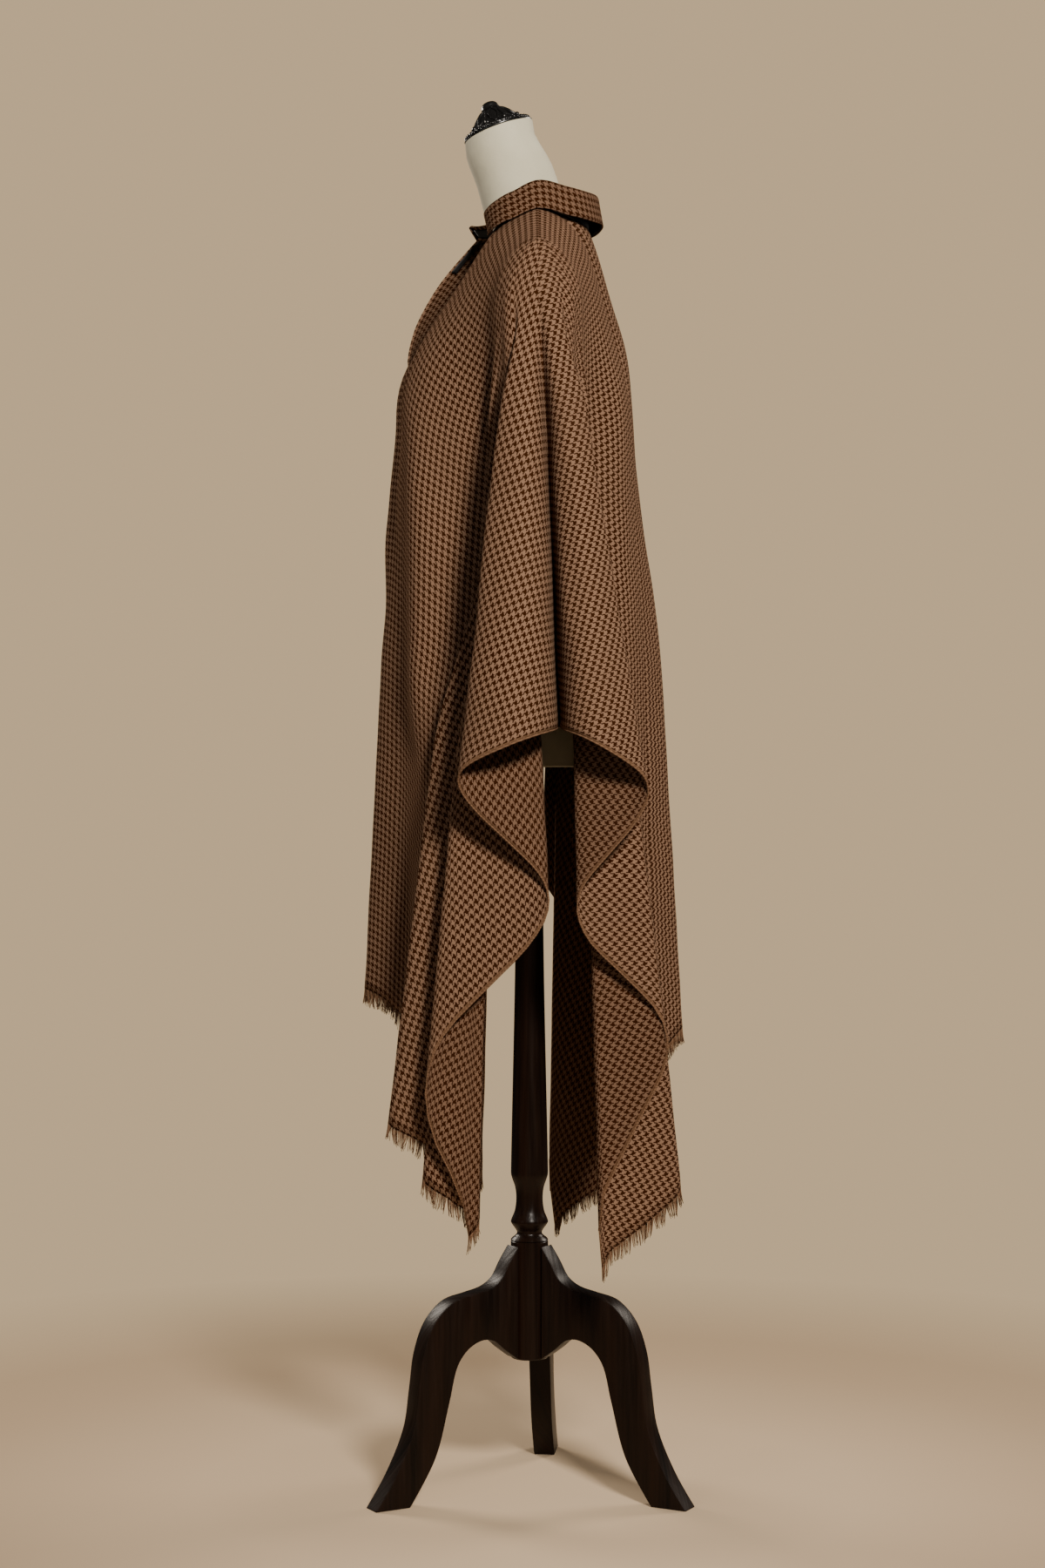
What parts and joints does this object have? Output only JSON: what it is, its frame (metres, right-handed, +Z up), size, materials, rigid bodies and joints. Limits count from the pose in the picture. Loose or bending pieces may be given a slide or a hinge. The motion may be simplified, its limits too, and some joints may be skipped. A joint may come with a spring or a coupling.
{
  "type": "poncho on a dress form with stand",
  "caption": "Wool houndstooth poncho with a turned-down collar, open front slit and fringed hems, hanging in deep folds on a limbless dress form with a turned pole and splayed legs.",
  "frame": {"origin": "on the floor below the middle of the whole", "axes": "X is the wearer's left, Y is the wearer's back, Z is up; the picture looks along -X at the wearer's left side"},
  "size_m": [0.5815, 0.393, 1.6719],
  "materials": {
    "wool": "woven houndstooth",
    "satin": "satin",
    "canvas": "matte",
    "cap": "gloss",
    "wood": "satin"
  },
  "bodies": {
    "root": {"poncho_cloth": "wool", "fringe_front": "wool", "fringe_back": "wool", "collar_fall": "wool", "collar_stand": "satin", "slit_facing_left": "satin", "slit_facing_right": "satin", "form_torso": "canvas", "neck_cap": "cap", "pole": "wood", "hub": "wood", "leg_left": "wood", "leg_right": "wood", "leg_rear": "wood"}
  },
  "joints": []
}
